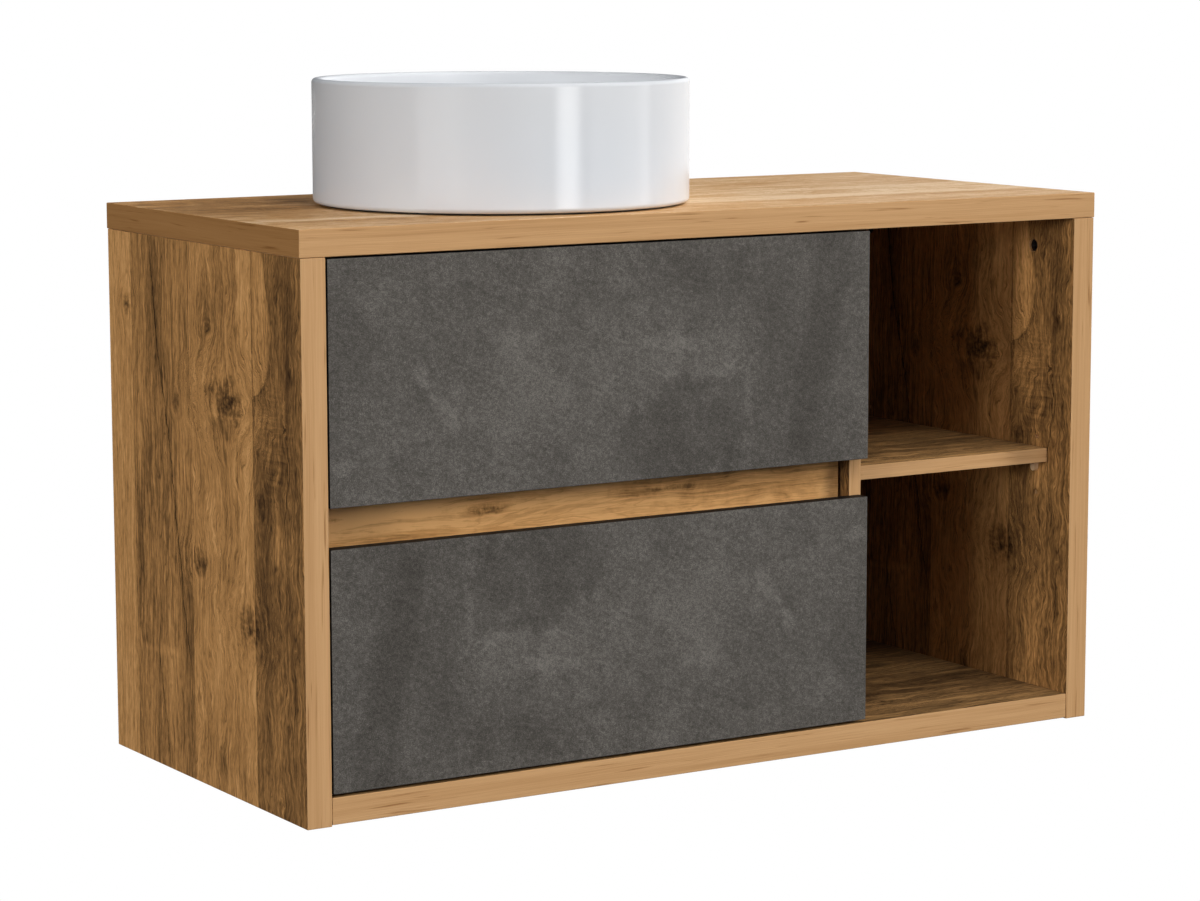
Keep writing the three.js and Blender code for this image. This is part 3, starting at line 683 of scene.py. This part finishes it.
def slate_front(name, turned, low, high):
    """Stone-look laminate: cloudy patches, trowel marks and fine speckle; a dark edge band, painted
    near-black as painted shade along the fronts' edges.
    """
    sh = Shader(name)
    x, z = sh.xyz[0], sh.xyz[2]
    if turned:
        # The lower front is cut from the same sheet, turned half round.
        x, z = sh.less(low[0] + high[0], x), sh.less(low[2] + high[2], z)
        z = sh.add(z, LOWER_FRONT_ON_SHEET)
    clouds = sh.noise(sh.vector(x, 0.0, z), 6.5, 6.0, 0.66, 0.7)
    blotch = sh.noise(sh.vector(x, 0.7, z), 21.0, 6.0, 0.70, 0.6)
    leaning = sh.times(sh.add(z, sh.times(x, 0.5)), 7.0)
    trowel = sh.noise(sh.vector(sh.times(x, 2.2), 1.3, leaning), 3.6, 6.0, 0.74, 1.1)
    leaning = sh.times(sh.add(z, sh.times(x, 0.35)), 240.0)
    brushed = sh.noise(sh.vector(sh.times(x, 90.0), 0.0, leaning), 1.0, 4.0, 0.72)
    grain = sh.noise(sh.vector(x, sh.xyz[1], z), 320.0, 4.0, 0.82)
    dots = sh.noise(sh.vector(x, 2.1, z), 900.0, 2.0, 0.6)
    torn = sh.add(
        sh.times(sh.centred(sh.vector(x, 3.3, z), 22.0, 6.0, 0.62), 1.7),
        sh.times(sh.less(brushed, 0.5), 0.18),
    )
    tone = 0.46
    for layer, weight in (
        (clouds, 0.40),
        (blotch, 0.50),
        (trowel, 0.34),
        (brushed, 0.62),
        (grain, 1.45),
        (dots, 1.50),
    ):
        tone = sh.add(tone, sh.times(sh.less(layer, 0.5), weight))
    for middle_x, middle_z, half_x, half_z, lean, change, crisp in SLATE_PATCHES:
        dx, dz = sh.less(x, middle_x), sh.less(z, middle_z)
        dx = sh.less(dx, sh.times(dz, lean))
        reach = reach_of(sh, sh.vector(dx, dz, 0.0), 0.0, 0.0, half_x, half_z)
        reach = sh.add(reach, sh.times(torn, 1.0 + 0.016 / min(half_x, half_z)))
        tone = sh.add(tone, sh.smooth(reach, 1.35 - 0.30 * crisp, 0.3 + 0.72 * crisp, 0.0, change))
    colour = sh.mix(sh.facing_along(1), SLATE_EDGE_BAND_AND_SHADE, sh.ramp(tone, SLATE_STOPS))
    roughness = sh.linear(tone, 0.0, 1.0, 0.56, 0.72)
    normal = sh.bump(sh.add(sh.times(grain, 0.6), sh.times(blotch, 0.4)), 0.0004, 0.5)
    return sh.surface(colour, roughness, normal, IOR=1.4, Specular_IOR_Level=0.25)


# ---- Other finishes ------------------------------------------------------------------------------
def drawer_board(name):
    """Grey melamine with a woven linen emboss."""
    sh = Shader(name)
    place = sh.place.outputs["Object"]
    warp = sh.noise(place, 40.0, 2.0)
    weave = 0.0
    for axis in range(3):
        thread = sh.math("SINE", sh.add(sh.times(sh.xyz[axis], 3600.0), sh.times(warp, 9.0)))
        weave = sh.add(weave, sh.times(thread, sh.less(1.0, sh.facing_along(axis))))
    fibres = sh.noise(place, 900.0, 2.0)
    tone = sh.add(0.5, sh.times(weave, 0.09))
    tone = sh.add(tone, sh.times(sh.centred(place, 9.0, 4.0), 0.35))
    tone = sh.add(tone, sh.times(sh.less(fibres, 0.5), 0.35))
    colour = sh.ramp(
        tone,
        [
            (0.0, (0.105, 0.098, 0.090)),
            (0.5, (0.165, 0.155, 0.142)),
            (1.0, (0.235, 0.222, 0.205)),
        ],
    )
    roughness = sh.linear(fibres, 0.0, 1.0, 0.48, 0.62)
    return sh.surface(colour, roughness, sh.bump(weave, 0.0001, 0.35), IOR=1.45)


def ceramic(name):
    """White glaze: a little uneven, with a few specks, and painted cooler towards the basin's foot to
    cancel the warm light bounced up from the worktop.
    """
    sh = Shader(name)
    place = sh.place.outputs["Object"]
    pool = sh.noise(place, 7.0, 2.0)
    ripple = sh.noise(place, 38.0, 2.0)
    specks = sh.smooth(sh.noise(place, 700.0, 1.0), 0.76, 0.82)
    colour = sh.mix(sh.linear(pool, 0.3, 0.7), (0.715, 0.722, 0.732), (0.745, 0.751, 0.760))
    # Painted correction for light: a cool tint near the foot that offsets the warm bounce from the
    # worktop.
    foot = sh.linear(sh.xyz[2], 0.09, 0.21, 1.0, 0.0)
    colour = sh.mix(foot, colour, sh.mix(1.0, colour, (0.975, 1.0, 1.035), "MULTIPLY"))
    colour = sh.mix(sh.times(specks, 0.12), colour, (0.60, 0.59, 0.57))
    height = sh.add(sh.times(pool, 3.0), sh.times(ripple, 0.30))
    roughness = sh.linear(ripple, 0.0, 1.0, 0.16, 0.21)
    return sh.surface(colour, roughness, sh.bump(height, 0.0006, 0.25), IOR=1.52)


def chrome(name):
    """Polished chrome with a thin film and upright wiping marks."""
    sh = Shader(name)
    place = sh.place.outputs["Object"]
    film = sh.noise(place, 60.0, 4.0, 0.6)
    wipe = sh.noise(sh.stretched(place, (900.0, 900.0, 60.0)), 1.0, 2.0)
    roughness = sh.add(sh.linear(film, 0.35, 0.75, 0.05, 0.15), sh.times(wipe, 0.03))
    colour = sh.mix(film, (0.80, 0.81, 0.83), (0.90, 0.90, 0.91))
    return sh.surface(colour, roughness, sh.bump(wipe, 0.00003, 0.3), Metallic=1.0)


def zinc(name, along=1, dark=1.0):
    """Zinc plate: rolling lines along its length, a faint spangle and dull handling marks."""
    sh = Shader(name)
    place = sh.place.outputs["Object"]
    scales = [14.0 if axis == along else 700.0 for axis in range(3)]
    lines = sh.noise(sh.stretched(place, scales), 1.0, 3.0, 0.6)
    spangle = sh.node("ShaderNodeTexVoronoi", {"Vector": place, "Scale": 160.0}).outputs["Color"]
    spangle = sh.node("ShaderNodeSeparateColor", {0: spangle}).outputs[0]
    marks = sh.noise(place, 30.0, 5.0, 0.7)
    tone = sh.add(sh.times(spangle, 0.25), sh.add(sh.times(marks, 0.45), sh.times(lines, 0.30)))
    colour = sh.ramp(
        tone,
        [
            (0.2, tuple(c * dark for c in (0.36, 0.37, 0.38))),
            (0.8, tuple(c * dark for c in (0.66, 0.67, 0.69))),
        ],
    )
    roughness = sh.linear(tone, 0.2, 0.8, 0.46, 0.28)
    return sh.surface(colour, roughness, sh.bump(lines, 0.00006, 0.5), Metallic=1.0)


def plastic(name, light, deep, roughness):
    """Moulded plastic with a fine texture."""
    sh = Shader(name)
    place = sh.place.outputs["Object"]
    grain = sh.noise(place, 1400.0, 2.0, 0.6)
    cloud = sh.noise(place, 25.0, 3.0)
    colour = sh.mix(cloud, deep, light)
    roughness = sh.linear(grain, 0.2, 0.8, roughness, roughness + 0.12)
    return sh.surface(colour, roughness, sh.bump(grain, 0.00006, 0.4), IOR=1.48)


def rubber(name):
    """Black rubber with a grey bloom."""
    sh = Shader(name)
    place = sh.place.outputs["Object"]
    bloom = sh.noise(place, 45.0, 5.0, 0.7)
    grain = sh.noise(place, 1600.0, 2.0)
    colour = sh.mix(sh.smooth(bloom, 0.45, 0.8), (0.012, 0.012, 0.012), (0.040, 0.039, 0.038))
    roughness = sh.linear(grain, 0.2, 0.8, 0.62, 0.80)
    return sh.surface(colour, roughness, sh.bump(grain, 0.00008, 0.5), IOR=1.5)


# ---- Pieces --------------------------------------------------------------------------------------
EDGE_ROUND = 0.0008  # radius of most boards' edges
SAME_POINT = 2e-6  # vertices nearer to each other than this are one
FLAT = math.radians(0.5)  # faces that meet at less than this are one flat face
BOARD_SMOOTH, SOFT_SMOOTH = 35, 38  # degrees; a sharper edge than this stays sharp
SHORTEST_EDGE = 0.004  # a board's edges shorter than this are not rounded
EASED_ABOVE = math.radians(50)  # a moulded part's edges sharper than this are eased


def weigh_normals(mesh, smooth_angle):
    """Smooth shading that leaves large flat faces flat: each corner's normal is weighed by area."""
    limit = math.cos(math.radians(smooth_angle))
    ways = [polygon.normal.copy() for polygon in mesh.polygons]
    areas = [polygon.area for polygon in mesh.polygons]
    touching = [[] for _ in mesh.vertices]
    for polygon in mesh.polygons:
        for corner in polygon.vertices:
            touching[corner].append(polygon.index)
    normals = [None] * len(mesh.loops)
    for polygon in mesh.polygons:
        own = ways[polygon.index]
        for loop in polygon.loop_indices:
            total = Vector()
            for other in touching[mesh.loops[loop].vertex_index]:
                if ways[other].dot(own) > limit:
                    total += ways[other] * areas[other]
            normals[loop] = total.normalized()
    mesh.polygons.foreach_set("use_smooth", [True] * len(mesh.polygons))
    mesh.set_sharp_from_angle(angle=math.radians(smooth_angle))
    mesh.normals_split_custom_set(normals)


def new_piece(node, bm, material, smooth_angle):
    """A piece that is seen in place of a CAD node and rides on its body."""
    mesh = bpy.data.meshes.new(node + "_fine")
    bm.to_mesh(mesh)
    bm.free()
    weigh_normals(mesh, smooth_angle)
    mesh.materials.append(material)
    thing = bpy.data.objects.new(node + "_fine", mesh)
    bpy.context.scene.collection.objects.link(thing)
    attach(thing, BODY_OF[node])
    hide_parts(node)


def cad_mesh(node):
    """A copy of a CAD node's mesh, with each flat face made whole."""
    bm = bmesh.new()
    bm.from_mesh(NODES[node].data)
    bmesh.ops.remove_doubles(bm, verts=bm.verts, dist=SAME_POINT)
    bmesh.ops.dissolve_limit(bm, angle_limit=FLAT, verts=bm.verts, edges=bm.edges)
    return bm


def round_off(bm, edges, rounding, segments, **settings):
    bmesh.ops.bevel(
        bm,
        geom=edges,
        offset=rounding,
        offset_type="OFFSET",
        segments=segments,
        profile=0.5,
        affect="EDGES",
        **settings,
    )


def fine_board(node, material, rounding=EDGE_ROUND):
    """The board with its long outer edges softly rounded, holes kept."""
    low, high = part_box(node)
    bm = cad_mesh(node)

    def outer(edge):
        flush = 0
        for axis in range(3):
            a, b = edge.verts[0].co[axis], edge.verts[1].co[axis]
            if abs(a - b) < 1e-6 and min(abs(a - low[axis]), abs(a - high[axis])) < 1e-5:
                flush += 1
        return flush >= 2 and edge.calc_length() > SHORTEST_EDGE

    round_off(bm, [e for e in bm.edges if outer(e)], rounding, 3)
    new_piece(node, bm, material, BOARD_SMOOTH)


def soft_edged(node, material, rounding):
    """A moulded, turned or pressed part with its sharp edges eased and its round faces smooth."""
    bm = cad_mesh(node)
    edges = [e for e in bm.edges if e.is_manifold and e.calc_face_angle(0.0) > EASED_ABOVE]
    round_off(bm, edges, rounding, 2, clamp_overlap=True)
    new_piece(node, bm, material, SOFT_SMOOTH)


def turned_piece(node, profile, material, steps, smooth_angle):
    """A body turned from (radius, height) points round the upright axis of the node's box."""
    low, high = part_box(node)
    middle = Vector(((low[0] + high[0]) / 2, (low[1] + high[1]) / 2, 0.0))
    turns = [2 * math.pi * k / steps for k in range(steps)]
    bm = bmesh.new()
    rings = []
    for radius, height in profile:
        if radius < 1e-7:
            rings.append([bm.verts.new((0.0, 0.0, height))])
            continue
        places = [(radius * math.cos(turn), radius * math.sin(turn), height) for turn in turns]
        rings.append([bm.verts.new(place) for place in places])
    pairs = list(zip(rings, rings[1:]))
    if len(rings[0]) > 1:  # it has a hole through it, so the last ring joins the first
        pairs.append((rings[-1], rings[0]))
    for one, two in pairs:
        for k in range(steps):
            n = (k + 1) % steps
            corners = [one[k % len(one)], one[n % len(one)], two[n % len(two)], two[k % len(two)]]
            corners = list(dict.fromkeys(corners))
            if len(corners) > 2:
                bm.faces.new(corners)
    bmesh.ops.translate(bm, vec=middle, verts=bm.verts)
    bmesh.ops.recalc_face_normals(bm, faces=bm.faces)
    new_piece(node, bm, material, smooth_angle)


def arc(middle_r, middle_h, radius, start, end, steps):
    """Points on a circular arc in the (radius, height) plane, angles in degrees."""
    points = []
    for k in range(steps + 1):
        angle = math.radians(start + (end - start) * k / steps)
        points.append((middle_r + radius * math.cos(angle), middle_h + radius * math.sin(angle)))
    return points


# ---- The pieces and their finishes ---------------------------------------------------------------
side_oak = oak_board("oak_side_panels", thick=0, grain=2, decor=SIDE_DECOR)
top_oak = oak_board("oak_worktop", thick=2, grain=0, decor=TOP_DECOR, dark_ends=True)
shelf_oak_painted_light = oak_board("oak_shelf_boards", thick=2, grain=0, decor=SHELF_DECOR_PAINTED_LIGHT)
rail_oak_painted_light = oak_board("oak_grip_rail", thick=1, grain=0, decor=RAIL_DECOR_AND_PAINTED_LIGHT)
back_oak_painted_shade = oak_board("oak_back_boards", thick=1, grain=2, decor=BACK_DECOR_PAINTED_SHADE)
divider_oak_painted_shade = oak_board("oak_divider", thick=0, grain=2, decor=DIVIDER_DECOR_PAINTED_SHADE)
floor_oak_painted_shade = oak_board("oak_bottom_board", thick=2, grain=0, decor=FLOOR_DECOR_PAINTED_SHADE)
linen = drawer_board("grey_linen_board")
white = ceramic("white_glaze")
bright = chrome("polished_chrome")
steel = zinc("zinc_plate")
# The cam locks' zinc, darkened to 0.14 of its own colour: painted shade for the shadow down in their
# holes.
cast = zinc("cast_zinc", along=2, dark=0.14)
ivory = plastic("ivory_plastic", (0.86, 0.60, 0.35), (0.80, 0.54, 0.30), 0.50)
grey = plastic("grey_moulding", (0.090, 0.086, 0.080), (0.075, 0.071, 0.066), 0.45)
black = rubber("black_rubber")

for node in ("side_panel_left", "side_panel_right"):
    fine_board(node, side_oak)
fine_board("divider_panel", divider_oak_painted_shade)
fine_board("worktop", top_oak, 0.0009)
fine_board("bottom_panel", floor_oak_painted_shade)
fine_board("shelf", shelf_oak_painted_light, 0.0006)
fine_board("grip_rail", rail_oak_painted_light, 0.0006)
fine_board("back_panel", back_oak_painted_shade, 0.0004)
fine_board("rear_rail", rail_oak_painted_light, 0.0004)
for level in ("upper", "lower"):
    node = level + "_drawer_front"
    low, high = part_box(node)
    fine_board(node, slate_front("slate_" + level, level == "lower", low, high), 0.0007)

SOFT_FINISH = {
    # material slot: material, how far sharp edges are eased
    "zinc_steel": (steel, 0.0003),
    "cam_zinc": (cast, 0.0004),
    "ivory_plastic": (ivory, 0.0004),
    "grey_plastic": (grey, 0.0005),
    "black_rubber": (black, 0.0003),
    "chrome": (bright, 0.0004),
}
for node, slot in SLOT_OF.items():
    if slot == "drawer_board":
        fine_board(node, linen, 0.0004)
    elif slot in SOFT_FINISH and node != "waste_plug":
        soft_edged(node, *SOFT_FINISH[slot])


# ---- Basin ---------------------------------------------------------------------------------------
def make_basin():
    """The bowl: a foot ring, an upright wall, a rolled rim and a floor that falls to the waste."""
    low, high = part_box("basin")
    outer = (high[0] - low[0]) / 2
    wall, foot_round, fillet = 0.009, 0.005, 0.026
    base, rim = low[2], high[2]
    hollow = base + 0.003  # the underside within the foot ring
    floor = base + 0.013
    bore = 0.023
    edge = wall / 2
    profile = [(bore, hollow), (outer - 0.021, hollow), (outer - 0.018, base)]
    profile += arc(outer - foot_round, base + foot_round, foot_round, -90, 0, 10)
    profile += [(outer, base + (rim - base) * k / 6) for k in range(1, 6)]
    profile += arc(outer - edge, rim - edge, edge, 0, 180, 20)
    profile += arc(outer - wall - fillet, floor + 0.004 + fillet, fillet, 0, -90, 16)
    profile += [(0.12, floor + 0.0022), (0.07, floor + 0.0007), (0.0345, floor)]
    profile += [(bore + 0.001, floor), (bore, floor - 0.001)]
    turned_piece("basin", profile, white, 160, 40)


def make_plug():
    """The push plug: a shallow dome with a rolled edge on its stem."""
    low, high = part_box("waste_plug")
    edge, stem = (high[0] - low[0]) / 2, 0.005
    under, roll = high[2] - 0.007, 0.0016
    profile = [(0.0, low[2]), (stem - 0.0008, low[2]), (stem, low[2] + 0.0008)]
    profile += [(stem, under - 0.002), (stem + 0.002, under), (edge - roll, under)]
    profile += arc(edge - roll, under + roll, roll, -60, 70, 8)
    for k in range(1, 13):
        turn = math.radians(84 - 84 * k / 12)
        profile.append(((edge - 0.0010) * math.sin(turn), under + 0.0032 + 0.0038 * math.cos(turn)))
    profile[-1] = (0.0, high[2])
    turned_piece("waste_plug", profile, bright, 96, 50)


make_basin()
make_plug()


# ---- Stage ---------------------------------------------------------------------------------------
def make_floor():
    """A plain floor: white as the camera sees it, with a weak grey bounce up at the unit."""
    bm = bmesh.new()
    bmesh.ops.create_grid(bm, x_segments=1, y_segments=1, size=FLOOR_SIZE / 2)
    mesh = bpy.data.meshes.new("floor")
    bm.to_mesh(mesh)
    bm.free()
    floor = bpy.data.objects.new("floor", mesh)
    floor.location = (0.0, 0.0, FLOOR_Z)
    bpy.context.scene.collection.objects.link(floor)
    paint = bpy.data.materials.new("pale_floor")
    paint.use_nodes = True
    tree = paint.node_tree
    shader = tree.nodes["Principled BSDF"]
    shader.inputs["Base Color"].default_value = (*[FLOOR_GREY] * 3, 1.0)
    shader.inputs["Roughness"].default_value = 0.9
    shader.inputs["Specular IOR Level"].default_value = 0.0
    glow = tree.nodes.new("ShaderNodeEmission")
    path = tree.nodes.new("ShaderNodeLightPath")
    share = tree.nodes.new("ShaderNodeMixShader")
    tree.links.new(path.outputs["Is Camera Ray"], share.inputs[0])
    tree.links.new(shader.outputs[0], share.inputs[1])
    tree.links.new(glow.outputs[0], share.inputs[2])
    tree.links.new(share.outputs[0], tree.nodes["Material Output"].inputs["Surface"])
    mesh.materials.append(paint)


def soft_light(name, aim, azimuth, elevation, distance, width, height, strength, seen_by):
    """A soft box; its strength is the light at the aimed-at point, 1 for a fully lit white card."""
    turn, lift = math.radians(azimuth), math.radians(elevation)
    way = Vector((math.cos(turn) * math.cos(lift), math.sin(turn) * math.cos(lift), math.sin(lift)))
    data = bpy.data.lights.new(name, "AREA")
    data.shape = "RECTANGLE"
    data.size = width
    data.size_y = height
    data.energy = strength * (math.pi * distance) ** 2
    light = bpy.data.objects.new(name, data)
    light.location = Vector(aim) + way * distance
    light.rotation_mode = "QUATERNION"
    light.rotation_quaternion = way.to_track_quat("Z", "Y")
    light.visible_camera = False
    light.visible_diffuse = seen_by == "diffuse"
    light.visible_glossy = seen_by == "glossy"
    bpy.context.scene.collection.objects.link(light)


def make_sky():
    """Soft studio surroundings: brighter to the right, the front and above, darker to the left."""
    world = bpy.data.worlds.new("studio")
    bpy.context.scene.world = world
    world.use_nodes = True
    tree = world.node_tree
    tree.nodes.clear()
    place = tree.nodes.new("ShaderNodeTexCoord")
    dot = tree.nodes.new("ShaderNodeVectorMath")
    dot.operation = "DOT_PRODUCT"
    dot.inputs[1].default_value = SKY_TOWARDS
    tree.links.new(place.outputs["Generated"], dot.inputs[0])
    spread = tree.nodes.new("ShaderNodeMapRange")
    spread.inputs["From Min"].default_value = -1.0
    spread.inputs["From Max"].default_value = 1.0
    spread.inputs["To Min"].default_value = SKY_RANGE[0]
    spread.inputs["To Max"].default_value = SKY_RANGE[1]
    tree.links.new(dot.outputs["Value"], spread.inputs["Value"])
    path = tree.nodes.new("ShaderNodeLightPath")
    choose = tree.nodes.new("ShaderNodeMix")
    tree.links.new(path.outputs["Is Camera Ray"], choose.inputs[0])
    tree.links.new(spread.outputs["Result"], choose.inputs[2])
    choose.inputs[3].default_value = SKY_SEEN
    back = tree.nodes.new("ShaderNodeBackground")
    back.inputs["Color"].default_value = (*SKY_COLOUR, 1.0)
    tree.links.new(choose.outputs[0], back.inputs["Strength"])
    out = tree.nodes.new("ShaderNodeOutputWorld")
    tree.links.new(back.outputs[0], out.inputs["Surface"])


make_floor()
make_sky()
for light in LIGHTS:
    soft_light(*light)
bpy.context.scene.view_settings.view_transform = "Standard"
